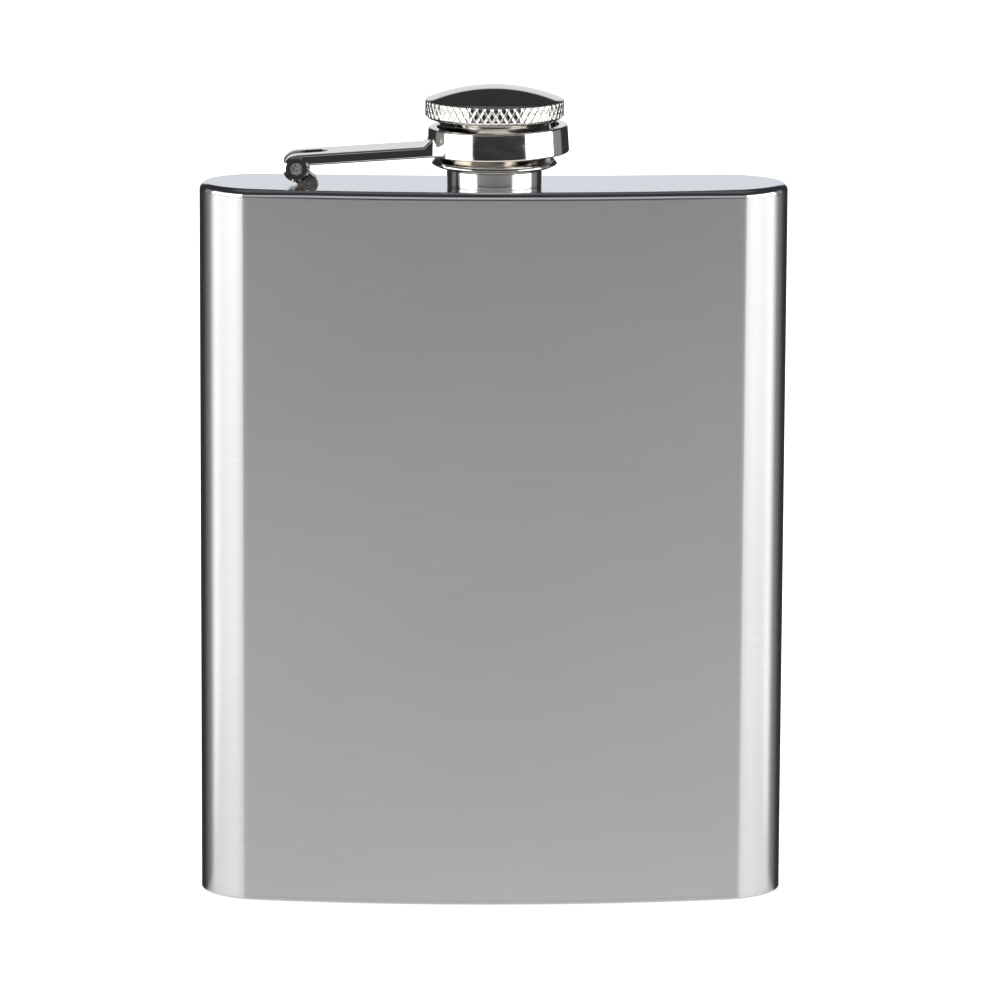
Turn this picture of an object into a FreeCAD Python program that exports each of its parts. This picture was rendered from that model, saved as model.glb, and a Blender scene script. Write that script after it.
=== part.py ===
import FreeCAD, Part

import math
import os

# A stainless steel hip flask with a captive screw cap. Millimetres, +Z up. The flask stands on
# Z = 0, X runs across its width, the bulging front faces -Y and the hollow back faces +Y.
# The origin is the middle of the footprint.

# ---- Body -------------------------------------------------------------------------------
BODY_WIDTH = 95.0
BODY_DEPTH = 22.5
BODY_HEIGHT = 117.0
FRONT_RADIUS = 235.0  # bulge of the front face
CREASE_RADIUS = 4.5  # soft crease where the front face turns into the side
CREASE_END = math.radians(22.0)  # angles are of the outward normal, turned from straight ahead
SHOULDER_RADIUS = 12.5
SHOULDER_END = math.radians(50.0)
SIDE_RADIUS = 9.0
BACK_RADIUS = 320.0  # hollow of the back face, which lies against the hip
SHELL_THICKNESS = 0.6
TOP_THICKNESS = 1.25
TOP_EDGE_RADIUS = 1.15
BASE_THICKNESS = 0.6
BASE_EDGE_RADIUS = 0.25

# ---- Neck, heights from the top plate ----------------------------------------------------
NECK_BORE_RADIUS = 5.6
NECK_SHOULDER_RADIUS = 7.65
NECK_SHOULDER_HEIGHT = 2.75
NECK_FOOT_CHAMFER = 0.12
NECK_CORE_RADIUS = 6.3
NECK_SPIGOT_RADIUS = 6.6
NECK_SPIGOT_BELOW_PLATE = 0.25
NECK_HEIGHT = 9.5
LIP_CHAMFER = 0.25

# ---- Screw thread ------------------------------------------------------------------------
THREAD_PITCH = 1.0
THREAD_MEAN_RADIUS = 6.725
THREAD_REACH = 0.225  # crest distance from the mean radius
THREAD_MEAN_HALF_WIDTH = 0.175
THREAD_FLANK = math.radians(20.0)
THREAD_BURY = 0.1  # how far a ridge runs into its wall
NECK_RIDGE_START = 7.0
NECK_RIDGE_TURNS = 1.25
CAP_RIDGE_START = NECK_RIDGE_START + THREAD_PITCH / 2
CAP_RIDGE_TURNS = 0.75

# ---- Cap, heights from the top plate -----------------------------------------------------
CAP_RADIUS = 11.15
CAP_TOP = 16.0
DOME_EDGE_RADIUS = 10.9
DOME_EDGE_HEIGHT = 13.85
BAND_TOP = 13.6
BAND_BOTTOM = 11.25
UNDERSIDE_RADIUS = 10.7
UNDERSIDE_HEIGHT = 10.8
SPOOL_RADIUS = 9.05
SPOOL_TOP = 10.2
SPIGOT_RADIUS = 8.6  # foot of the spool, where the retaining flange is pressed on
CAP_BORE_RADIUS = 8.2
CAP_CEILING = 10.6
SLEEVE_BORE_RADIUS = 7.15
SLEEVE_TOP = 9.5
SEAL_RADIUS = 8.1
SEAL_BOTTOM = 9.55
SEAL_TOP = 10.55

# ---- Retaining flange --------------------------------------------------------------------
FLANGE_MOUTH_RADIUS = 7.8
FLANGE_BOTTOM = 2.9
FLANGE_LEDGE = 3.2
FLANGE_RADIUS = 10.1
FLANGE_WIDEST = 3.45
FLANGE_BOWL_MIDDLE = (9.4, 3.04)
FLANGE_CROWN_MIDDLE = (9.97, 3.82)
FLANGE_SHOULDER = (9.66, 4.18)
FLANGE_CROWN = (9.2, 4.85)
FLANGE_TOP = 5.0

# ---- Hinge and captive arm ---------------------------------------------------------------
PIN_OFFSET = 31.8  # pin axis to cap axis
PIN_HEIGHT = 2.95
PIN_RADIUS = 0.8
PIN_HOLE_RADIUS = 0.85  # in the lug; the pin is a tight fit in the fork
PIN_HEAD_RADIUS = 0.95
PIN_HEAD_HEIGHT = 0.2
KNUCKLE_RADIUS = 2.15
KNUCKLE_CHAMFER = 0.42
KNUCKLE_WIDTH = 8.8
ARM_WIDTH = 8.2  # the bar, a little narrower than its knuckle
ARM_SLOPE = math.radians(3.8)
ARM_UNDERSIDE = 0.4  # height of the underside above the pin axis
ARM_THICKNESS = 1.78
ARM_EDGE = 0.3  # rounded edges of the bar
SLOT_WIDTH = 3.4
SLOT_REACH = 5.0
LUG_WIDTH = 3.2
LUG_EYE_RADIUS = 1.85
LUG_FOOT_LEFT = 0.3
LUG_FOOT_RIGHT = 3.5
LUG_TOE = (3.35, -2.5)  # where the front of the foot starts to rise
LUG_SWELL = (3.0, -1.7)
LUG_HEEL = (-1.5, -1.1)
LUG_THROAT = (1.65, -0.75)  # where the foot runs into the eye
RING_OFFSET = 0.6  # ring centre from the cap axis
RING_CENTRE_HEIGHT = 7.35
RING_HEIGHT = 4.4
RING_TOP_RADIUS = 11.2
RING_BOTTOM_RADIUS = 11.4
RING_BORE_RADIUS = 9.85
RING_MOUTH_RADIUS = 10.8  # the bore opens out below, so that the flange can rise into it
RING_MOUTH_HEIGHT = 1.7
RING_TILT = 1.5  # degrees, free side up
RING_EDGE = 0.25
GUSSET_START = 20.4  # from the pin axis along the bar

SAME_PLACE = 1e-3  # how near an edge must lie to a height or a face to count as on it

# ---- Worked out from the above -----------------------------------------------------------
FRONT_Y = -BODY_DEPTH / 2


def step_centre(centre, radius, next_radius, angle):
    """The centre of the arc that carries on from another one where its outward normal has this angle."""
    reach = radius - next_radius
    return (centre[0] + reach * math.sin(angle), centre[1] - reach * math.cos(angle))


def front_half_angle():
    """How far the front arc turns from its middle, so that the crease, shoulder and side end at full width."""
    side_reach = SIDE_RADIUS * (1 - math.sin(SHOULDER_END))
    shoulder_reach = SHOULDER_RADIUS * (math.sin(SHOULDER_END) - math.sin(CREASE_END))
    left_over = BODY_WIDTH / 2 - side_reach - shoulder_reach - CREASE_RADIUS * math.sin(CREASE_END)
    return math.asin(left_over / (FRONT_RADIUS - CREASE_RADIUS))


FRONT_END = front_half_angle()
FRONT_CENTRE = (0.0, FRONT_Y + FRONT_RADIUS)
CREASE_CENTRE = step_centre(FRONT_CENTRE, FRONT_RADIUS, CREASE_RADIUS, FRONT_END)
SHOULDER_CENTRE = step_centre(CREASE_CENTRE, CREASE_RADIUS, SHOULDER_RADIUS, CREASE_END)
SIDE_CENTRE = step_centre(SHOULDER_CENTRE, SHOULDER_RADIUS, SIDE_RADIUS, SHOULDER_END)
BACK_CORNER_RADIUS = BODY_DEPTH / 2 - SIDE_CENTRE[1]
BACK_CORNER_CENTRE = step_centre(SIDE_CENTRE, SIDE_RADIUS, BACK_CORNER_RADIUS, math.pi / 2)
BACK_REACH = BACK_RADIUS + BACK_CORNER_RADIUS
BACK_CENTRE = (0.0, BACK_CORNER_CENTRE[1] + math.sqrt(BACK_REACH**2 - BACK_CORNER_CENTRE[0] ** 2))
BACK_HALF_ANGLE = math.asin(BACK_CORNER_CENTRE[0] / BACK_REACH)
BACK_Y = BACK_CENTRE[1] - BACK_RADIUS
NECK_Y = (FRONT_Y + BACK_Y) / 2  # the neck stands midway between the front and back faces
NECK_AXIS = FreeCAD.Vector(0, NECK_Y, BODY_HEIGHT)
PIN_AXIS = FreeCAD.Vector(-PIN_OFFSET, NECK_Y, BODY_HEIGHT + PIN_HEIGHT)
UP = FreeCAD.Vector(0, 0, 1)
ALONG_PIN = FreeCAD.Vector(0, 1, 0)


def arc_edge(centre, radius, start, end, mirror=1):
    """An arc in the plane Z = 0 between two angles of its outward normal, turned from straight ahead."""
    points = []
    for angle in (start, (start + end) / 2, end):
        x = centre[0] + radius * math.sin(angle)
        points.append(FreeCAD.Vector(mirror * x, centre[1] - radius * math.cos(angle), 0))
    return Part.Arc(*points).toShape()


def body_outline(inset):
    """The plan of the body, moved inwards by inset, as one closed wire of tangent arcs."""
    side_arcs = [
        (CREASE_CENTRE, CREASE_RADIUS, FRONT_END, CREASE_END),
        (SHOULDER_CENTRE, SHOULDER_RADIUS, CREASE_END, SHOULDER_END),
        (SIDE_CENTRE, SIDE_RADIUS, SHOULDER_END, math.pi / 2),
        (BACK_CORNER_CENTRE, BACK_CORNER_RADIUS, math.pi / 2, math.pi + BACK_HALF_ANGLE),
    ]
    right = [arc_edge(centre, radius - inset, start, end) for centre, radius, start, end in side_arcs]
    left = [arc_edge(centre, radius - inset, end, start, -1) for centre, radius, start, end in side_arcs]
    front = arc_edge(FRONT_CENTRE, FRONT_RADIUS - inset, -FRONT_END, FRONT_END)
    back = arc_edge(BACK_CENTRE, BACK_RADIUS + inset, BACK_HALF_ANGLE, -BACK_HALF_ANGLE)
    return Part.Wire([front] + right + [back] + left[::-1])


def body_slab(inset, bottom, top):
    """A solid of the body's plan between two heights."""
    slab = Part.Face(body_outline(inset)).extrude(FreeCAD.Vector(0, 0, top - bottom))
    slab.translate(FreeCAD.Vector(0, 0, bottom))
    return slab


def turned(profile):
    """A solid turned about the neck axis from (radius, height) points; a third value bulges the edge to it."""
    edges = []
    for index, point in enumerate(profile):
        following = profile[(index + 1) % len(profile)]
        start = FreeCAD.Vector(point[0], 0, point[1])
        end = FreeCAD.Vector(following[0], 0, following[1])
        if len(following) > 2:
            middle = FreeCAD.Vector(following[2][0], 0, following[2][1])
            edges.append(Part.Arc(start, middle, end).toShape())
        else:
            edges.append(Part.LineSegment(start, end).toShape())
    solid = Part.Face(Part.Wire(edges)).revolve(FreeCAD.Vector(0, 0, 0), UP, 360)
    solid.translate(NECK_AXIS)
    return solid


def thread_ridge(outward, start, turns):
    """A helical ridge about the neck axis that stands out from a core, or inwards from a bore."""
    sign = 1 if outward else -1
    crest_half = THREAD_MEAN_HALF_WIDTH - THREAD_REACH * math.tan(THREAD_FLANK)
    wall_reach = abs(NECK_CORE_RADIUS - THREAD_MEAN_RADIUS) + THREAD_BURY
    wall_half = THREAD_MEAN_HALF_WIDTH + wall_reach * math.tan(THREAD_FLANK)
    wall_radius = THREAD_MEAN_RADIUS - sign * wall_reach
    crest_radius = THREAD_MEAN_RADIUS + sign * THREAD_REACH
    section = Part.makePolygon(
        [
            FreeCAD.Vector(wall_radius, 0, -wall_half),
            FreeCAD.Vector(crest_radius, 0, -crest_half),
            FreeCAD.Vector(crest_radius, 0, crest_half),
            FreeCAD.Vector(wall_radius, 0, wall_half),
            FreeCAD.Vector(wall_radius, 0, -wall_half),
        ]
    )
    path = Part.Wire(Part.makeHelix(THREAD_PITCH, THREAD_PITCH * turns, THREAD_MEAN_RADIUS).Edges)
    ridge = path.makePipeShell([section], True, True)
    ridge.translate(NECK_AXIS + FreeCAD.Vector(0, 0, start))
    return ridge


def across(radius, width, centre=PIN_AXIS):
    """A cylinder along Y of the given width, centred on a point."""
    start = centre - ALONG_PIN * (width / 2)
    return Part.makeCylinder(radius, width, start, ALONG_PIN)


def plate_prism(points, width):
    """An upright plate of the given width from (x, z) points measured from the pin axis."""
    corners = [PIN_AXIS + FreeCAD.Vector(x, -width / 2, z) for x, z in points]
    return Part.Face(Part.makePolygon(corners + corners[:1])).extrude(ALONG_PIN * width)


# ---- Body pieces -------------------------------------------------------------------------
def make_body_shell():
    """The wrapped sheet that forms the front, sides and back."""
    bottom, top = BASE_THICKNESS, BODY_HEIGHT - TOP_THICKNESS
    return body_slab(0, bottom, top).cut(body_slab(SHELL_THICKNESS, bottom, top))


def lies_at(edge, height):
    """Whether an edge lies level at a height."""
    box = edge.BoundBox
    return max(abs(box.ZMin - height), abs(box.ZMax - height)) < SAME_PLACE


def rounded_plate(bottom, top, rounded_height, radius):
    """An end plate with its outer edge rounded over at one height."""
    plate = body_slab(0, bottom, top)
    rim = [edge for edge in plate.Edges if lies_at(edge, rounded_height)]
    return plate.makeFillet(radius, rim)


def make_top_plate():
    """The polished top with its rolled edge and the hole for the neck."""
    plate = rounded_plate(BODY_HEIGHT - TOP_THICKNESS, BODY_HEIGHT, BODY_HEIGHT, TOP_EDGE_RADIUS)
    hole_start = NECK_AXIS - UP * (2 * TOP_THICKNESS)
    return plate.cut(Part.makeCylinder(NECK_SPIGOT_RADIUS, 3 * TOP_THICKNESS, hole_start, UP))


def make_bottom_plate():
    """The flat plate that the flask stands on."""
    return rounded_plate(0, BASE_THICKNESS, 0, BASE_EDGE_RADIUS)


def make_neck_tube():
    """The turned mouth: a spigot through the plate, a shoulder on it and a threaded tube above."""
    foot = -TOP_THICKNESS - NECK_SPIGOT_BELOW_PLATE
    profile = [
        (NECK_BORE_RADIUS, foot),
        (NECK_SPIGOT_RADIUS, foot),
        (NECK_SPIGOT_RADIUS, 0),
        (NECK_SHOULDER_RADIUS - NECK_FOOT_CHAMFER, 0),
        (NECK_SHOULDER_RADIUS, NECK_FOOT_CHAMFER),
        (NECK_SHOULDER_RADIUS, NECK_SHOULDER_HEIGHT - LIP_CHAMFER),
        (NECK_SHOULDER_RADIUS - LIP_CHAMFER, NECK_SHOULDER_HEIGHT),
        (NECK_CORE_RADIUS, NECK_SHOULDER_HEIGHT),
        (NECK_CORE_RADIUS, NECK_HEIGHT - LIP_CHAMFER),
        (NECK_CORE_RADIUS - LIP_CHAMFER, NECK_HEIGHT),
        (NECK_BORE_RADIUS, NECK_HEIGHT),
    ]
    return turned(profile).fuse(thread_ridge(True, NECK_RIDGE_START, NECK_RIDGE_TURNS)).removeSplitter()


# ---- Hinge and arm -----------------------------------------------------------------------
def make_hinge_bracket():
    """The lug welded to the top plate: an eye for the pin on a foot that leans towards the cap."""
    lug = across(LUG_EYE_RADIUS, LUG_WIDTH)
    web = [
        LUG_HEEL,
        (LUG_FOOT_LEFT, -PIN_HEIGHT),
        (LUG_FOOT_RIGHT, -PIN_HEIGHT),
        LUG_TOE,
        LUG_SWELL,
        LUG_THROAT,
        (0, 0),
    ]
    lug = lug.fuse(plate_prism(web, LUG_WIDTH))
    return lug.cut(across(PIN_HOLE_RADIUS, 2 * LUG_WIDTH)).removeSplitter()


def make_hinge_pin():
    """The pin, with a flat peened head at each end."""
    pin = across(PIN_RADIUS, KNUCKLE_WIDTH + 2 * PIN_HEAD_HEIGHT)
    for side in (-1, 1):
        head_centre = PIN_AXIS + ALONG_PIN * (side * (KNUCKLE_WIDTH + PIN_HEAD_HEIGHT) / 2)
        pin = pin.fuse(across(PIN_HEAD_RADIUS, PIN_HEAD_HEIGHT, head_centre))
    return pin.removeSplitter()


def tilted_about_ring(shape):
    """Tips a shape that was made level about the ring's centre by the ring's tilt."""
    centre = NECK_AXIS + FreeCAD.Vector(RING_OFFSET, 0, RING_CENTRE_HEIGHT)
    shape.rotate(centre, -ALONG_PIN, RING_TILT)
    return shape


def make_ring_wall():
    """The outside of the ring that holds the cap, as a full disc with rounded edges."""
    base = NECK_AXIS + FreeCAD.Vector(RING_OFFSET, 0, RING_CENTRE_HEIGHT - RING_HEIGHT / 2)
    wall = Part.makeCone(RING_BOTTOM_RADIUS, RING_TOP_RADIUS, RING_HEIGHT, base, UP)
    rims = [edge for edge in wall.Edges if edge.Closed]
    return wall.makeFillet(RING_EDGE, rims)


def make_ring_bore():
    """The space inside the ring: a bore that opens out in a cone at its lower end."""
    base = NECK_AXIS + FreeCAD.Vector(RING_OFFSET, 0, RING_CENTRE_HEIGHT - RING_HEIGHT / 2)
    bore = Part.makeCylinder(RING_BORE_RADIUS, 2 * RING_HEIGHT, base, UP)
    mouth = Part.makeCone(RING_MOUTH_RADIUS, RING_BORE_RADIUS, RING_MOUTH_HEIGHT, base, UP)
    below = Part.makeCylinder(RING_MOUTH_RADIUS, RING_MOUTH_HEIGHT, base - UP * RING_MOUTH_HEIGHT, UP)
    return bore.fuse([mouth, below])


def runs_along_side(edge):
    """Whether an edge of the bar lies in one of its sides and runs along it, not upright."""
    off_middle = abs(edge.CenterOfMass.y - NECK_Y)
    return abs(off_middle - ARM_WIDTH / 2) < SAME_PLACE and edge.BoundBox.XLength > ARM_EDGE


def make_captive_arm():
    """The forked bar on the hinge pin and the ring at its end, in one casting."""
    slope = math.tan(ARM_SLOPE)
    top = ARM_UNDERSIDE + ARM_THICKNESS
    bar_end = PIN_OFFSET + RING_OFFSET - RING_BORE_RADIUS
    gusset_rise = bar_end - GUSSET_START
    side_view = [
        (0, ARM_UNDERSIDE),
        (bar_end, ARM_UNDERSIDE + slope * bar_end),
        (bar_end, top + slope * GUSSET_START + gusset_rise),
        (GUSSET_START, top + slope * GUSSET_START),
        (0, top),
    ]
    bar = plate_prism(side_view, ARM_WIDTH)
    long_edges = [edge for edge in bar.Edges if runs_along_side(edge)]
    bar = bar.makeFillet(ARM_EDGE, long_edges)
    knuckle = across(KNUCKLE_RADIUS, KNUCKLE_WIDTH)
    knuckle = knuckle.makeChamfer(KNUCKLE_CHAMFER, [edge for edge in knuckle.Edges if edge.Closed])
    arm = knuckle.fuse(bar).fuse(tilted_about_ring(make_ring_wall()))
    arm = arm.cut(tilted_about_ring(make_ring_bore()))
    slot_end = SLOT_REACH - SLOT_WIDTH / 2
    slot_length = slot_end + 2 * KNUCKLE_RADIUS
    slot_corner = PIN_AXIS + FreeCAD.Vector(-2 * KNUCKLE_RADIUS, -SLOT_WIDTH / 2, -2 * KNUCKLE_RADIUS)
    slot = Part.makeBox(slot_length, SLOT_WIDTH, 4 * KNUCKLE_RADIUS, slot_corner)
    round_base = PIN_AXIS + FreeCAD.Vector(slot_end, 0, -2 * KNUCKLE_RADIUS)
    slot = slot.fuse(Part.makeCylinder(SLOT_WIDTH / 2, 4 * KNUCKLE_RADIUS, round_base, UP))
    return arm.cut(slot).cut(across(PIN_RADIUS, 2 * KNUCKLE_WIDTH)).removeSplitter()


# ---- Cap ---------------------------------------------------------------------------------
def make_cap_head():
    """The domed head with its grip band, and the spool below that the ring rides on."""
    rise = CAP_TOP - DOME_EDGE_HEIGHT
    dome_radius = (DOME_EDGE_RADIUS**2 + rise**2) / (2 * rise)
    half_radius = DOME_EDGE_RADIUS / 2
    half_height = CAP_TOP - dome_radius + math.sqrt(dome_radius**2 - half_radius**2)
    profile = [
        (0, CAP_CEILING),
        (CAP_BORE_RADIUS, CAP_CEILING),
        (CAP_BORE_RADIUS, FLANGE_LEDGE),
        (SPIGOT_RADIUS, FLANGE_LEDGE),
        (SPIGOT_RADIUS, FLANGE_TOP),
        (SPOOL_RADIUS, FLANGE_TOP),
        (SPOOL_RADIUS, SPOOL_TOP),
        (UNDERSIDE_RADIUS, UNDERSIDE_HEIGHT),
        (CAP_RADIUS, BAND_BOTTOM),
        (CAP_RADIUS, BAND_TOP),
        (DOME_EDGE_RADIUS, DOME_EDGE_HEIGHT),
        (0, CAP_TOP, (half_radius, half_height)),
    ]
    return turned(profile)


def make_cap_sleeve():
    """The internally threaded sleeve pressed into the head."""
    profile = [
        (SLEEVE_BORE_RADIUS, FLANGE_LEDGE),
        (CAP_BORE_RADIUS, FLANGE_LEDGE),
        (CAP_BORE_RADIUS, SLEEVE_TOP),
        (SLEEVE_BORE_RADIUS, SLEEVE_TOP),
    ]
    return turned(profile).fuse(thread_ridge(False, CAP_RIDGE_START, CAP_RIDGE_TURNS)).removeSplitter()


def make_retaining_flange():
    """The bowl-shaped flange on the foot of the spool, which keeps the ring on."""
    profile = [
        (FLANGE_MOUTH_RADIUS, FLANGE_BOTTOM),
        (FLANGE_RADIUS, FLANGE_WIDEST, FLANGE_BOWL_MIDDLE),
        (FLANGE_SHOULDER[0], FLANGE_SHOULDER[1], FLANGE_CROWN_MIDDLE),
        FLANGE_CROWN,
        (SPOOL_RADIUS, FLANGE_TOP),
        (SPIGOT_RADIUS, FLANGE_TOP),
        (SPIGOT_RADIUS, FLANGE_LEDGE),
        (FLANGE_MOUTH_RADIUS, FLANGE_LEDGE),
    ]
    return turned(profile)


def make_cap_seal():
    """The rubber disc that closes on the lip of the neck."""
    return Part.makeCylinder(SEAL_RADIUS, SEAL_TOP - SEAL_BOTTOM, NECK_AXIS + UP * SEAL_BOTTOM, UP)


PARTS = {
    "body_shell": make_body_shell,
    "top_plate": make_top_plate,
    "bottom_plate": make_bottom_plate,
    "neck_tube": make_neck_tube,
    "hinge_bracket": make_hinge_bracket,
    "hinge_pin": make_hinge_pin,
    "captive_arm": make_captive_arm,
    "cap_head": make_cap_head,
    "cap_sleeve": make_cap_sleeve,
    "retaining_flange": make_retaining_flange,
    "cap_seal": make_cap_seal,
}

os.makedirs("parts", exist_ok=True)
for name, make in PARTS.items():
    shape = make()
    shape.exportStep("parts/" + name + ".step")
    print(name, "solids", len(shape.Solids), "valid", shape.isValid(), "volume", round(shape.Volume, 2))
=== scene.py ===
import math

import bpy
from mathutils import Matrix


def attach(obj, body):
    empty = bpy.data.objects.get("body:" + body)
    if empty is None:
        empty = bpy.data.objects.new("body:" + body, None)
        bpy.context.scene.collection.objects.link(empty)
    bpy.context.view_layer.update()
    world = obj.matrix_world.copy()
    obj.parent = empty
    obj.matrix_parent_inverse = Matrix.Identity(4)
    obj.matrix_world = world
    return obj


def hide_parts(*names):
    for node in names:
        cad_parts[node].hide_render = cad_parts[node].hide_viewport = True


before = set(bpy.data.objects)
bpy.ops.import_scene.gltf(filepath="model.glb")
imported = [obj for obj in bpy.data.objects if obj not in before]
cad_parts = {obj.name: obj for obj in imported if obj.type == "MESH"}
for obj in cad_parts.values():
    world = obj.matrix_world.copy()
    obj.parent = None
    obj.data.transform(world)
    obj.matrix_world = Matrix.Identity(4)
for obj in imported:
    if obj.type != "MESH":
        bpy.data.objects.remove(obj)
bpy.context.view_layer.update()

# A stainless steel hip flask: brushed body, polished top, and a knurled screw cap that a ring on
# a hinged arm holds captive. Sizes of the flask are in millimetres and are turned into metres as a
# mesh is made. Heights in the cap are measured from the top plate. The studio is in metres.
MM = 0.001

# ---- Body ---------------------------------------------------------------------------------
BODY_WIDTH = 95.0
BODY_DEPTH = 22.5
BODY_HEIGHT = 117.0
FRONT_RADIUS = 235.0
CREASE_RADIUS = 4.5
CREASE_END = math.radians(22.0)
SHOULDER_RADIUS = 12.5
SHOULDER_END = math.radians(50.0)
SIDE_RADIUS = 9.0
BACK_RADIUS = 320.0
SHELL_THICKNESS = 0.6
TOP_THICKNESS = 1.25
TOP_EDGE_RADIUS = (0.75, 1.2)  # of the rolled edge, along the front and round the ends
TOP_EDGE_CHANGE = (30.0, 43.0)  # distance from the middle over which it grows
BASE_THICKNESS = 0.6
BASE_EDGE_RADIUS = 0.25
SEAM_BEVEL = 0.06
BASE_SEAM_BEVEL = 0.02
FLAT_MARGIN = 0.15  # width of the first strip of a flat face beside its rounded edge
NECK_HOLE_RADIUS = 6.6
SHELL_BANDS = 8  # level strips that the shell's wall is divided into
TOP_EDGE_STEPS = 12
BASE_EDGE_STEPS = 6

# ---- Cap ----------------------------------------------------------------------------------
CAP_RADIUS = 11.15
CAP_TOP = 16.0
DOME_EDGE_RADIUS = 10.9
DOME_EDGE_HEIGHT = 13.85
BAND_TOP = 13.6
BAND_BOTTOM = 11.25
UNDERSIDE_RADIUS = 10.7
UNDERSIDE_HEIGHT = 10.8
SPOOL_RADIUS = 9.05
SPOOL_TOP = 10.2
SPIGOT_RADIUS = 8.6
CAP_BORE_RADIUS = 8.2
CAP_CEILING = 10.6
FLANGE_LEDGE = 3.2
FLANGE_TOP = 5.0
KNURL_COUNT = 54
KNURL_HEIGHT = 2.0
KNURL_DEPTH = 0.15
KNURL_HALF_WIDTH = 0.145
KNURL_STEPS = 20  # faces across one groove spacing
SPOOL_CORNER = 0.15  # bevel where the spool meets the underside of the head
UNDERSIDE_CORNER = (0.1, 0.05)  # across and up, at the edge of the underside
DOME_CORNER = 0.12  # bevel between the grip band and the dome
DOME_STEPS = 24

# ---- Smoothing, in degrees ----------------------------------------------------------------
SHEET_SMOOTH_BELOW = 35.0
KNURL_SMOOTH_BELOW = 50.0


# ---- Shapes -------------------------------------------------------------------------------
def step_centre(centre, radius, next_radius, angle):
    """The centre of the arc that carries on from another one where its outward normal has this angle."""
    reach = radius - next_radius
    return (centre[0] + reach * math.sin(angle), centre[1] - reach * math.cos(angle))


def body_arcs():
    """The right half of the body's plan, from the middle of the front to the middle of the back."""
    side_reach = SIDE_RADIUS * (1 - math.sin(SHOULDER_END))
    shoulder_reach = SHOULDER_RADIUS * (math.sin(SHOULDER_END) - math.sin(CREASE_END))
    left_over = BODY_WIDTH / 2 - side_reach - shoulder_reach - CREASE_RADIUS * math.sin(CREASE_END)
    front_end = math.asin(left_over / (FRONT_RADIUS - CREASE_RADIUS))
    front = (0.0, FRONT_RADIUS - BODY_DEPTH / 2)
    crease = step_centre(front, FRONT_RADIUS, CREASE_RADIUS, front_end)
    shoulder = step_centre(crease, CREASE_RADIUS, SHOULDER_RADIUS, CREASE_END)
    side = step_centre(shoulder, SHOULDER_RADIUS, SIDE_RADIUS, SHOULDER_END)
    corner_radius = BODY_DEPTH / 2 - side[1]
    corner = step_centre(side, SIDE_RADIUS, corner_radius, math.pi / 2)
    back_reach = BACK_RADIUS + corner_radius
    back = (0.0, corner[1] + math.sqrt(back_reach**2 - corner[0] ** 2))
    back_angle = math.asin(corner[0] / back_reach)
    return [
        (front, FRONT_RADIUS, 0.0, front_end, 16),
        (crease, CREASE_RADIUS, front_end, CREASE_END, 10),
        (shoulder, SHOULDER_RADIUS, CREASE_END, SHOULDER_END, 16),
        (side, SIDE_RADIUS, SHOULDER_END, math.pi / 2, 18),
        (corner, corner_radius, math.pi / 2, math.pi + back_angle, 40),
        (back, -BACK_RADIUS, math.pi + back_angle, math.pi, 16),
    ]


ARCS = body_arcs()
BACK_Y = ARCS[-1][0][1] - BACK_RADIUS
NECK_Y = (BACK_Y - BODY_DEPTH / 2) / 2


def body_outline(inset):
    """Points round the body's plan, moved inwards by inset, starting in the middle of the front."""
    right = []
    for centre, radius, start, end, steps in ARCS:
        for step in range(steps):
            angle = start + (end - start) * step / steps
            reach = radius - inset
            right.append((centre[0] + reach * math.sin(angle), centre[1] - reach * math.cos(angle)))
    back_middle = (0.0, BACK_Y - inset)
    left = [(-x, y) for x, y in right[:0:-1]]
    return right + [back_middle] + left


def finish_mesh(name, verts, faces, smooth_below=SHEET_SMOOTH_BELOW):
    """A mesh object in metres with smooth faces and sharp edges above an angle."""
    mesh = bpy.data.meshes.new(name)
    mesh.from_pydata([[c * MM for c in v] for v in verts], [], faces)
    mesh.validate()
    mesh.polygons.foreach_set("use_smooth", [True] * len(mesh.polygons))
    mesh.set_sharp_from_angle(angle=math.radians(smooth_below))
    mesh.update()
    piece = bpy.data.objects.new(name, mesh)
    bpy.context.scene.collection.objects.link(piece)
    weigh_normals(piece)
    return piece


def weigh_normals(piece):
    """Lets the large faces set the shading, so that polished faces stay flat up to their bevels."""
    weighted = piece.modifiers.new("large_faces_lead", "WEIGHTED_NORMAL")
    weighted.mode = "FACE_AREA"
    weighted.weight = 100
    weighted.keep_sharp = True


def ring_faces(rings, closed):
    """Quads between each ring and the next, where each is a list of as many vertex numbers."""
    faces = []
    pairs = list(zip(rings, rings[1:]))
    if closed:
        pairs.append((rings[-1], rings[0]))
    for low, high in pairs:
        count = len(low)
        for i in range(count):
            j = (i + 1) % count
            faces.append((low[i], low[j], high[j], high[i]))
    return faces


def loft_outline(levels, closed):
    """A wall through the body's plan at each (inset, height)."""
    verts, rings = [], []
    for inset, height in levels:
        outline = body_outline(inset)
        rings.append(list(range(len(verts), len(verts) + len(outline))))
        verts += [(x, y, height) for x, y in outline]
    return verts, rings, ring_faces(rings, closed)


def quarter_round(steps):
    """(across, down) of points round a quarter of a unit circle, from its flat start to its upright end."""
    points = []
    for step in range(steps + 1):
        angle = math.pi / 2 * step / steps
        points.append((1 - math.sin(angle), 1 - math.cos(angle)))
    return points


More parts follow.
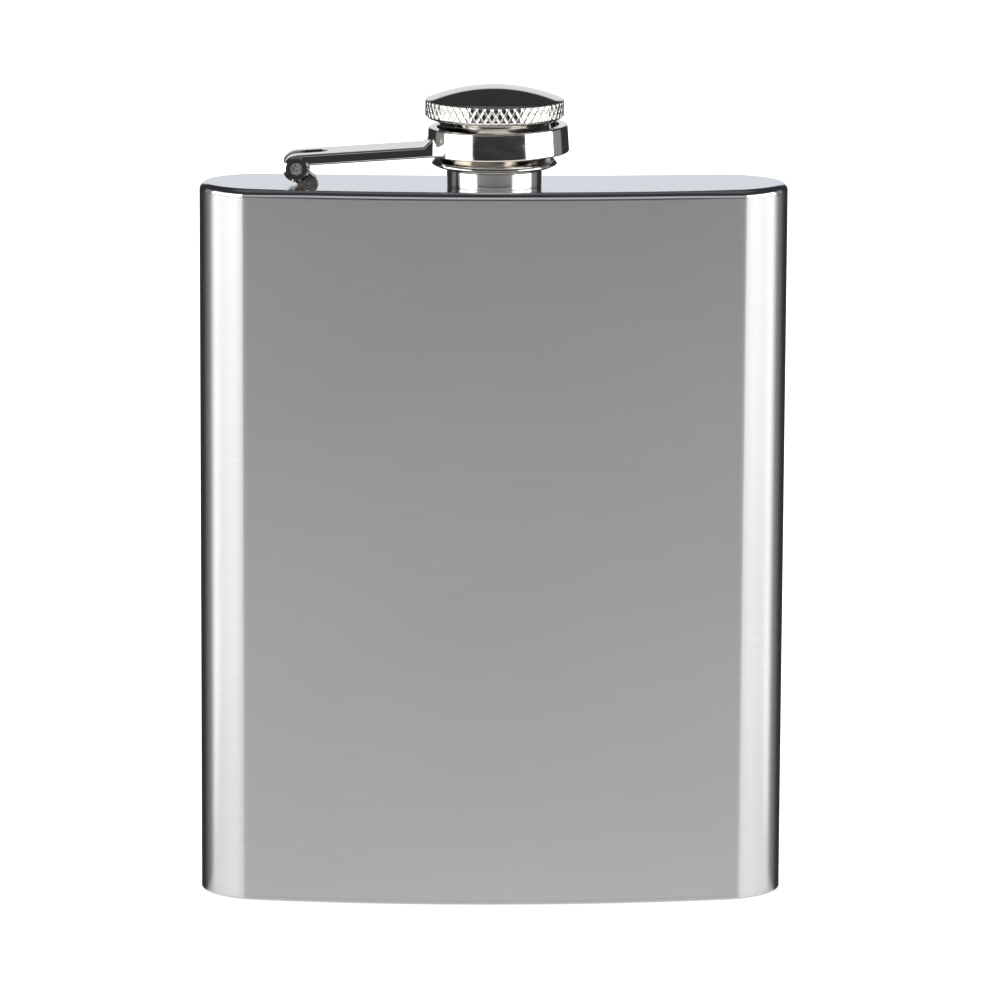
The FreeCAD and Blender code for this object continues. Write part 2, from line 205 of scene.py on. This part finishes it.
# ---- Body pieces --------------------------------------------------------------------------
def make_shell():
    """The brushed sheet round the front, sides and back, with its long edges broken."""
    low, high = BASE_THICKNESS, BODY_HEIGHT - TOP_THICKNESS
    levels = [(BASE_SEAM_BEVEL, low), (0, low + BASE_SEAM_BEVEL)]
    levels += [(0, low + (high - low) * band / SHELL_BANDS) for band in range(1, SHELL_BANDS)]
    levels += [(0, high - SEAM_BEVEL), (SEAM_BEVEL, high), (SHELL_THICKNESS, high), (SHELL_THICKNESS, low)]
    verts, _, faces = loft_outline(levels, True)
    piece = finish_mesh("body_shell_sheet", verts, faces)
    return dress(piece, "flask", "brushed_shell", satin_steel("brushed_shell"), "body_shell")


def circle_under(outline, radius):
    """A circle about the neck with one point in the direction of each outline point."""
    points = []
    for x, y in outline:
        angle = math.atan2(y - NECK_Y, x)
        points.append((radius * math.cos(angle), NECK_Y + radius * math.sin(angle)))
    return points


def top_edge_radius(x):
    """The radius of the rolled edge of the top, which is larger round the ends of the flask."""
    start, end = TOP_EDGE_CHANGE
    part = min(1.0, max(0.0, (abs(x) - start) / (end - start)))
    smooth = part * part * (3 - 2 * part)
    return TOP_EDGE_RADIUS[0] + (TOP_EDGE_RADIUS[1] - TOP_EDGE_RADIUS[0]) * smooth


def make_top_plate():
    """The polished top with its rolled edge and the hole that the neck stands in."""
    outline = body_outline(0)
    inwards = [(inner[0] - outer[0], inner[1] - outer[1]) for outer, inner in zip(outline, body_outline(1))]
    radii = [top_edge_radius(x) for x, _ in outline]
    verts, rings = [], []

    def add_ring(points, depths):
        start = len(verts)
        verts.extend((x, y, BODY_HEIGHT - depth) for (x, y), depth in zip(points, depths))
        rings.append(list(range(start, start + len(points))))

    def moved_in(insets):
        return [(p[0] + n[0] * d, p[1] + n[1] * d) for p, n, d in zip(outline, inwards, insets)]

    level = [0.0] * len(outline)
    add_ring(moved_in([radius + FLAT_MARGIN for radius in radii]), level)
    seam_top = TOP_THICKNESS - SEAM_BEVEL
    for across, down in quarter_round(TOP_EDGE_STEPS):
        add_ring(moved_in([radius * across for radius in radii]), [seam_top * down] * len(outline))
    add_ring(body_outline(SEAM_BEVEL), [TOP_THICKNESS] * len(outline))
    hole = circle_under(outline, NECK_HOLE_RADIUS)
    add_ring(hole, [TOP_THICKNESS] * len(outline))
    add_ring(hole, level)
    faces = [face[::-1] for face in ring_faces(rings, True)]
    piece = finish_mesh("top_plate_sheet", verts, faces)
    return dress(piece, "flask", "polished_top", polished_steel("polished_top", TOP_TINT, 0.1), "top_plate")


def make_bottom_plate():
    """The plate that the flask stands on."""
    levels = [(BASE_EDGE_RADIUS + FLAT_MARGIN, 0.0)]
    edge = quarter_round(BASE_EDGE_STEPS)
    levels += [(BASE_EDGE_RADIUS * across, BASE_EDGE_RADIUS * down) for across, down in edge]
    levels += [(0.0, BASE_THICKNESS - BASE_SEAM_BEVEL), (BASE_SEAM_BEVEL, BASE_THICKNESS)]
    verts, rings, faces = loft_outline(levels, False)
    faces = faces + [tuple(rings[-1])] + [tuple(rings[0][::-1])]
    piece = finish_mesh("bottom_plate_sheet", verts, faces)
    return dress(piece, "flask", "brushed_base", satin_steel("brushed_base"), "bottom_plate")


# ---- Cap ----------------------------------------------------------------------------------
def groove(turn, height, lean):
    """Depth of the nearest knurl groove of one lean, from 0 on a pad to 1 at its bottom."""
    spacing = 2 * math.pi * CAP_RADIUS / KNURL_COUNT
    across = turn * KNURL_COUNT + lean * height / KNURL_HEIGHT
    off = abs(across - round(across)) * spacing
    slope = math.hypot(1.0, spacing / KNURL_HEIGHT)
    return max(0.0, 1 - off / slope / KNURL_HALF_WIDTH)


def knurled_radius(turn, height):
    """The radius of the grip band, cut by two sets of slanted grooves."""
    depth = max(groove(turn, height, 1), groove(turn, height, -1))
    return CAP_RADIUS - KNURL_DEPTH * depth


def dome_profile(steps):
    """(radius, height) from the rim of the dome to just short of its top."""
    rise = CAP_TOP - DOME_EDGE_HEIGHT
    dome_radius = (DOME_EDGE_RADIUS**2 + rise**2) / (2 * rise)
    edge = math.asin(DOME_EDGE_RADIUS / dome_radius)
    points = []
    for step in range(steps):
        angle = edge * (1 - step / steps)
        drop = dome_radius * (1 - math.cos(angle))
        points.append((dome_radius * math.sin(angle), CAP_TOP - drop))
    return points


def make_cap_head():
    """The domed head with real knurling on its grip band, and the spool below it."""
    segments = KNURL_COUNT * KNURL_STEPS
    band_rows = int(round((BAND_TOP - BAND_BOTTOM) / KNURL_HEIGHT * KNURL_STEPS))
    below = [
        (CAP_BORE_RADIUS, FLANGE_LEDGE),
        (SPIGOT_RADIUS, FLANGE_LEDGE),
        (SPIGOT_RADIUS, FLANGE_TOP),
        (SPOOL_RADIUS, FLANGE_TOP),
        (SPOOL_RADIUS, SPOOL_TOP - SPOOL_CORNER),
        (SPOOL_RADIUS + SPOOL_CORNER, SPOOL_TOP),
        (UNDERSIDE_RADIUS - UNDERSIDE_CORNER[0], UNDERSIDE_HEIGHT),
        (UNDERSIDE_RADIUS, UNDERSIDE_HEIGHT + UNDERSIDE_CORNER[1]),
    ]
    above = [(DOME_EDGE_RADIUS + DOME_CORNER, DOME_EDGE_HEIGHT - DOME_CORNER)] + dome_profile(DOME_STEPS)
    verts, rings = [], []

    def add_ring(radius_at, height):
        start = len(verts)
        for i in range(segments):
            turn = i / segments
            radius = radius_at(turn)
            angle = 2 * math.pi * turn
            verts.append((radius * math.cos(angle), NECK_Y + radius * math.sin(angle), BODY_HEIGHT + height))
        rings.append(list(range(start, start + segments)))

    for radius, height in below:
        add_ring(lambda turn: radius, height)
    for row in range(band_rows + 1):
        height = BAND_BOTTOM + (BAND_TOP - BAND_BOTTOM) * row / band_rows
        add_ring(lambda turn: knurled_radius(turn, height - BAND_BOTTOM), height)
    for radius, height in above:
        add_ring(lambda turn: radius, height)
    faces = ring_faces(rings, False)
    top = len(verts)
    verts.append((0, NECK_Y, BODY_HEIGHT + CAP_TOP))
    faces += [(rings[-1][i], rings[-1][(i + 1) % segments], top) for i in range(segments)]
    add_ring(lambda turn: CAP_BORE_RADIUS, CAP_CEILING)
    faces += ring_faces([rings[-1], rings[0]], False)
    faces.append(tuple(rings[-1][::-1]))
    piece = finish_mesh("cap_head_knurled", verts, faces, KNURL_SMOOTH_BELOW)
    return dress(piece, "cap", "polished_cap", polished_steel("polished_cap", CAP_TINT, 0.05), "cap_head")


# ---- Materials ----------------------------------------------------------------------------
STEEL_TINT = (0.62, 0.62, 0.615)
STEEL_SHADE = (0.56, 0.56, 0.555)
NECK_TINT = (0.80, 0.79, 0.77)
NECK_SHADE = (0.74, 0.73, 0.71)
# The hinge's two tints are dark as painted shade: they stand in for the shadow and dark reflection of the
# arms over the lug's front. The mottling between them is wear.
HINGE_SHADOWED_LIGHT = (0.26, 0.23, 0.21)
HINGE_SHADOWED_DARK = (0.12, 0.10, 0.09)
PIN_TINT = (0.75, 0.74, 0.73)
PIN_SHADE = (0.3, 0.3, 0.3)
TOP_TINT = (0.72, 0.74, 0.785)
CAP_TINT = (0.80, 0.78, 0.75)
RUBBER_TINT = (0.05, 0.05, 0.05)
RUBBER_SHADE = (0.02, 0.02, 0.02)

# scales of the noise along X, Y and Z, in ripples for each metre
BRUSH_STREAKS = (110.0, 110.0, 4200.0)
BRUSH_CLOUDS = (22.0, 22.0, 30.0)
WIPE_MARKS = (300.0, 900.0, 900.0)
WORN_SPOTS = (2600.0, 2600.0, 2600.0)
RUBBER_GRAIN = (2500.0, 2500.0, 2500.0)


def dress(piece, body, slot, material, *nodes):
    """Gives a new piece its material, its body and the CAD nodes that it stands for."""
    piece.data.materials.append(material)
    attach(piece, body)
    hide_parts(*nodes)
    return piece


def new_material(name):
    """A node material, with its nodes, its links and its Principled shader."""
    material = bpy.data.materials.new(name)
    material.use_nodes = True
    nodes = material.node_tree.nodes
    return material, nodes, material.node_tree.links, nodes["Principled BSDF"]


def stretched_noise(nodes, links, scale, detail=4.0):
    """Noise over the object's own coordinates, stretched by a scale for each axis."""
    coords = nodes.new("ShaderNodeTexCoord")
    mapping = nodes.new("ShaderNodeMapping")
    mapping.inputs["Scale"].default_value = scale
    noise = nodes.new("ShaderNodeTexNoise")
    noise.inputs["Scale"].default_value = 1.0
    noise.inputs["Detail"].default_value = detail
    links.new(coords.outputs["Object"], mapping.inputs["Vector"])
    links.new(mapping.outputs["Vector"], noise.inputs["Vector"])
    return noise.outputs["Fac"]


def ranged(nodes, links, value, low, high):
    """Turns a noise value into a range."""
    node = nodes.new("ShaderNodeMapRange")
    node.inputs["From Min"].default_value = 0.3
    node.inputs["From Max"].default_value = 0.7
    node.inputs["To Min"].default_value = low
    node.inputs["To Max"].default_value = high
    links.new(value, node.inputs["Value"])
    return node.outputs["Result"]


def mixed_tint(nodes, links, shader, factor, dark, light):
    """Colours the shader between two tints."""
    tint = nodes.new("ShaderNodeMix")
    tint.data_type = "RGBA"
    tint.inputs["A"].default_value = (*dark, 1)
    tint.inputs["B"].default_value = (*light, 1)
    links.new(factor, tint.inputs["Factor"])
    links.new(tint.outputs["Result"], shader.inputs["Base Color"])


def add_bump(nodes, links, shader, height, strength, distance):
    """Ripples the shader's surface by a noise value; the distance is in metres."""
    bump = nodes.new("ShaderNodeBump")
    bump.inputs["Strength"].default_value = strength
    bump.inputs["Distance"].default_value = distance
    links.new(height, bump.inputs["Height"])
    links.new(bump.outputs["Normal"], shader.inputs["Normal"])


def brushed_steel(name, roughness, light, dark):
    """Steel brushed level all round: reflections spread up and down but stay narrow sideways."""
    material, nodes, links, shader = new_material(name)
    shader.inputs["Metallic"].default_value = 1.0
    shader.inputs["Anisotropic"].default_value = 0.85
    shader.inputs["Anisotropic Rotation"].default_value = 0.25
    tangent = nodes.new("ShaderNodeTangent")
    tangent.direction_type = "RADIAL"
    tangent.axis = "Z"
    links.new(tangent.outputs["Tangent"], shader.inputs["Tangent"])
    streaks = stretched_noise(nodes, links, BRUSH_STREAKS, 3.0)
    clouds = stretched_noise(nodes, links, BRUSH_CLOUDS, 2.0)
    mixed = nodes.new("ShaderNodeMix")
    mixed.inputs["Factor"].default_value = 0.45
    links.new(streaks, mixed.inputs["A"])
    links.new(clouds, mixed.inputs["B"])
    links.new(ranged(nodes, links, streaks, roughness * 0.96, roughness * 1.04), shader.inputs["Roughness"])
    mixed_tint(nodes, links, shader, ranged(nodes, links, mixed.outputs["Result"], 0.0, 1.0), dark, light)
    add_bump(nodes, links, shader, streaks, 0.05, 0.00002)
    return material


def polished_steel(name, tint, roughness):
    """Polished steel with faint wipe marks in its gloss."""
    material, nodes, links, shader = new_material(name)
    shader.inputs["Metallic"].default_value = 1.0
    shader.inputs["Base Color"].default_value = (*tint, 1)
    wipes = stretched_noise(nodes, links, WIPE_MARKS)
    links.new(ranged(nodes, links, wipes, roughness * 0.7, roughness * 1.4), shader.inputs["Roughness"])
    return material


def satin_steel(name):
    """The satin finish of the body and its base."""
    return brushed_steel(name, 0.38, STEEL_TINT, STEEL_SHADE)


def worn_steel(name, light, dark, roughness):
    """Dull steel with the mottling of a part that was peened or welded, between two given tints; the hinge's
    tints are darkened as painted shade.
    """
    material, nodes, links, shader = new_material(name)
    shader.inputs["Metallic"].default_value = 1.0
    spots = stretched_noise(nodes, links, WORN_SPOTS, 3.0)
    mixed_tint(nodes, links, shader, ranged(nodes, links, spots, 0.0, 1.0), dark, light)
    links.new(ranged(nodes, links, spots, roughness * 0.8, roughness * 1.2), shader.inputs["Roughness"])
    add_bump(nodes, links, shader, spots, 0.6, 0.0001)
    return material


def dull_rubber():
    """Black rubber for the disc inside the cap."""
    material, nodes, links, shader = new_material("seal_rubber")
    shader.inputs["Roughness"].default_value = 0.7
    grain = stretched_noise(nodes, links, RUBBER_GRAIN)
    mixed_tint(nodes, links, shader, grain, RUBBER_SHADE, RUBBER_TINT)
    return material


def dress_cad_nodes():
    """Materials for the CAD nodes that are shown as they are."""
    materials = {
        "neck_tube": brushed_steel("polished_neck", 0.2, NECK_TINT, NECK_SHADE),
        # the hinge bracket's dark tints are painted shade for the arms' shadow on the lug
        "hinge_bracket": worn_steel("polished_hinge", HINGE_SHADOWED_LIGHT, HINGE_SHADOWED_DARK, 0.2),
        "hinge_pin": worn_steel("pin_steel", PIN_TINT, PIN_SHADE, 0.3),
        "captive_arm": polished_steel("polished_arm", CAP_TINT, 0.09),
        "cap_sleeve": polished_steel("sleeve_steel", STEEL_TINT, 0.2),
        "retaining_flange": polished_steel("polished_flange", CAP_TINT, 0.09),
        "cap_seal": dull_rubber(),
    }
    for name, material in materials.items():
        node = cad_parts[name]
        node.data.materials.clear()
        node.data.materials.append(material)


# ---- Studio -------------------------------------------------------------------------------
def math_node(nodes, links, operation, *values):
    """A maths node whose inputs are numbers or sockets."""
    node = nodes.new("ShaderNodeMath")
    node.operation = operation
    for socket, value in zip(node.inputs, values):
        if isinstance(value, (int, float)):
            socket.default_value = value
        else:
            links.new(value, socket)
    return node.outputs[0]


def rise(nodes, links, value, start, end):
    """0 before start, 1 after end, smooth between. Start may be the larger, for a fall."""
    node = nodes.new("ShaderNodeMapRange")
    node.interpolation_type = "SMOOTHSTEP"
    low, high = (start, end) if start < end else (end, start)
    node.inputs["From Min"].default_value = math.radians(low)
    node.inputs["From Max"].default_value = math.radians(high)
    node.inputs["To Min"].default_value = 0.0 if start < end else 1.0
    node.inputs["To Max"].default_value = 1.0 if start < end else 0.0
    links.new(value, node.inputs["Value"])
    return node.outputs["Result"]


WHITE = (1.0, 1.0, 1.0)
WARM = (1.0, 0.985, 0.96)
COOL = (0.93, 0.965, 1.0)

# Each row is a brightness, a colour, and two spans in degrees: azimuth, turned from straight in front
# of the flask and alike on both sides, and elevation. A span fades in between its first two numbers
# and out between its last two.
PANELS = [
    (2.7, WHITE, (43, 47, 99, 101), (-91, -90, 12, 28)),  # tall soft boxes at the sides
    (0.9, WHITE, (43, 47, 64, 80), (-91, -90, 12, 28)),  # their brighter front ends
    (0.24, WHITE, (99, 101, 122, 128), (-91, -90, 12, 28)),  # dim end of the side walls
    (0.80, COOL, (160, 168, 200, 201), (-8, 0, 17, 21)),  # low backdrop
    (0.55, WARM, (60, 90, 150, 160), (-91, -90, -40, -25)),  # the table at the sides
    (0.09, WHITE, (-2, -1, 200, 201), (52, 64, 200, 201)),  # dim ceiling
    (0.55, WHITE, (-2, -1, 43, 48), (-1, 4, 14, 26)),  # grey wall in front, over the dark camera side
]
DARK = (0.038, 0.038, 0.039)
BACKDROP_SEEN = (1.1, 1.1, 1.1, 1.0)  # what the camera itself sees behind the flask
PAPER_TINT = (0.93, 0.93, 0.93, 1.0)
LIT_FLOOR_TINT = (1.0, 0.995, 0.98, 1.0)
BLACK = (0.0, 0.0, 0.0, 1.0)
FLOOR_REACH = 12.0  # metres each way
LIT_FLOOR_SIDE = 0.8
LIT_FLOOR_FRONT = 0.40
LIT_FLOOR_DEPTH = 0.001  # just under the floor

# ---- Camera, in metres, degrees and millimetres of lens -----------------------------------
CAMERA_DISTANCE = 1.0  # level distance to the neck's axis
CAMERA_HEIGHT = 0.2628
CAMERA_BEARING = 1.20  # turned to the left of straight in front
CAMERA_PITCH = 10.45
CAMERA_ROLL = 0.28
CAMERA_LENS = 225.85
CAMERA_SHIFT = (0.0069, -0.08)
CAMERA_CLIP = (0.05, 60.0)


def panel_mask(nodes, links, azimuth, elevation, across, up):
    """1 inside a panel's two spans and 0 outside them, with soft edges."""
    value = math_node(
        nodes,
        links,
        "MULTIPLY",
        rise(nodes, links, azimuth, across[0], across[1]),
        rise(nodes, links, azimuth, across[3], across[2]),
    )
    value = math_node(nodes, links, "MULTIPLY", value, rise(nodes, links, elevation, up[0], up[1]))
    return math_node(nodes, links, "MULTIPLY", value, rise(nodes, links, elevation, up[3], up[2]))


def build_world():
    """Soft boxes, dark gaps and a backdrop round the flask, as light by direction."""
    world = bpy.data.worlds.new("studio")
    bpy.context.scene.world = world
    world.use_nodes = True
    nodes, links = world.node_tree.nodes, world.node_tree.links
    background = nodes["Background"]
    coords = nodes.new("ShaderNodeTexCoord")
    split = nodes.new("ShaderNodeSeparateXYZ")
    links.new(coords.outputs["Generated"], split.inputs[0])
    x, y, z = split.outputs
    side = math_node(nodes, links, "ABSOLUTE", x)
    front = math_node(nodes, links, "MULTIPLY", y, -1.0)
    azimuth = math_node(nodes, links, "ARCTAN2", side, front)
    elevation = math_node(nodes, links, "ARCSINE", z)
    total = None
    for brightness, colour, across, up in PANELS:
        panel = nodes.new("ShaderNodeVectorMath")
        panel.operation = "MULTIPLY_ADD"
        links.new(panel_mask(nodes, links, azimuth, elevation, across, up), panel.inputs[0])
        panel.inputs[1].default_value = [brightness * channel for channel in colour]
        if total is None:
            panel.inputs[2].default_value = DARK
        else:
            links.new(total, panel.inputs[2])
        total = panel.outputs[0]
    path = nodes.new("ShaderNodeLightPath")
    seen = nodes.new("ShaderNodeMix")
    seen.data_type = "RGBA"
    links.new(path.outputs["Is Camera Ray"], seen.inputs["Factor"])
    links.new(total, seen.inputs["A"])
    seen.inputs["B"].default_value = BACKDROP_SEEN
    links.new(seen.outputs["Result"], background.inputs["Color"])
    background.inputs["Strength"].default_value = 1.0


def level_sheet(name, low, high, height, material):
    """A level rectangle between two corners that belongs to the studio."""
    mesh = bpy.data.meshes.new(name)
    corners = [(low[0], low[1]), (high[0], low[1]), (high[0], high[1]), (low[0], high[1])]
    mesh.from_pydata([(x, y, height) for x, y in corners], [], [(0, 1, 2, 3)])
    mesh.materials.append(material)
    sheet = bpy.data.objects.new(name, mesh)
    bpy.context.scene.collection.objects.link(sheet)
    return sheet


def build_floor():
    """A plain pale floor, and the lit part of it that the steel mirrors."""
    paper, _, _, shader = new_material("floor_paper")
    shader.inputs["Base Color"].default_value = PAPER_TINT
    shader.inputs["Roughness"].default_value = 0.9
    shader.inputs["Specular IOR Level"].default_value = 0.1
    floor = level_sheet("floor", (-FLOOR_REACH, -FLOOR_REACH), (FLOOR_REACH, FLOOR_REACH), 0.0, paper)
    floor.visible_glossy = False
    glow, _, _, shader = new_material("lit_paper")
    shader.inputs["Base Color"].default_value = BLACK
    shader.inputs["Specular IOR Level"].default_value = 0.0
    shader.inputs["Emission Color"].default_value = LIT_FLOOR_TINT
    shader.inputs["Emission Strength"].default_value = 1.0
    near, far = (-LIT_FLOOR_SIDE, -LIT_FLOOR_FRONT), (LIT_FLOOR_SIDE, 0.0)
    lit = level_sheet("lit_floor", near, far, -LIT_FLOOR_DEPTH, glow)
    lit.visible_camera = False
    lit.visible_diffuse = False
    lit.visible_shadow = False


def build_lights():
    """A very soft light from above for the floor."""
    data = bpy.data.lights.new("overhead", "SUN")
    data.angle = math.radians(150)
    data.energy = 5.0
    light = bpy.data.objects.new("overhead", data)
    light.visible_glossy = False
    bpy.context.scene.collection.objects.link(light)


def build_camera():
    """The view from the front, a little to the left and above."""
    bearing, pitch, roll = (math.radians(angle) for angle in (CAMERA_BEARING, CAMERA_PITCH, CAMERA_ROLL))
    data = bpy.data.cameras.new("camera")
    data.lens = CAMERA_LENS
    data.sensor_width = 36.0
    data.shift_x, data.shift_y = CAMERA_SHIFT
    data.clip_start, data.clip_end = CAMERA_CLIP
    camera = bpy.data.objects.new("camera", data)
    camera.location = (
        -CAMERA_DISTANCE * math.sin(bearing),
        NECK_Y * MM - CAMERA_DISTANCE * math.cos(bearing),
        CAMERA_HEIGHT,
    )
    aim = Matrix.Rotation(-bearing, 4, "Z") @ Matrix.Rotation(math.pi / 2 - pitch, 4, "X")
    camera.rotation_euler = (aim @ Matrix.Rotation(roll, 4, "Z")).to_euler()
    bpy.context.scene.collection.objects.link(camera)
    bpy.context.scene.camera = camera


def build_flask():
    """Every visible piece."""
    make_shell()
    make_top_plate()
    make_bottom_plate()
    make_cap_head()
    dress_cad_nodes()


build_flask()
build_world()
build_floor()
build_lights()
build_camera()
bpy.context.scene.view_settings.view_transform = "Standard"
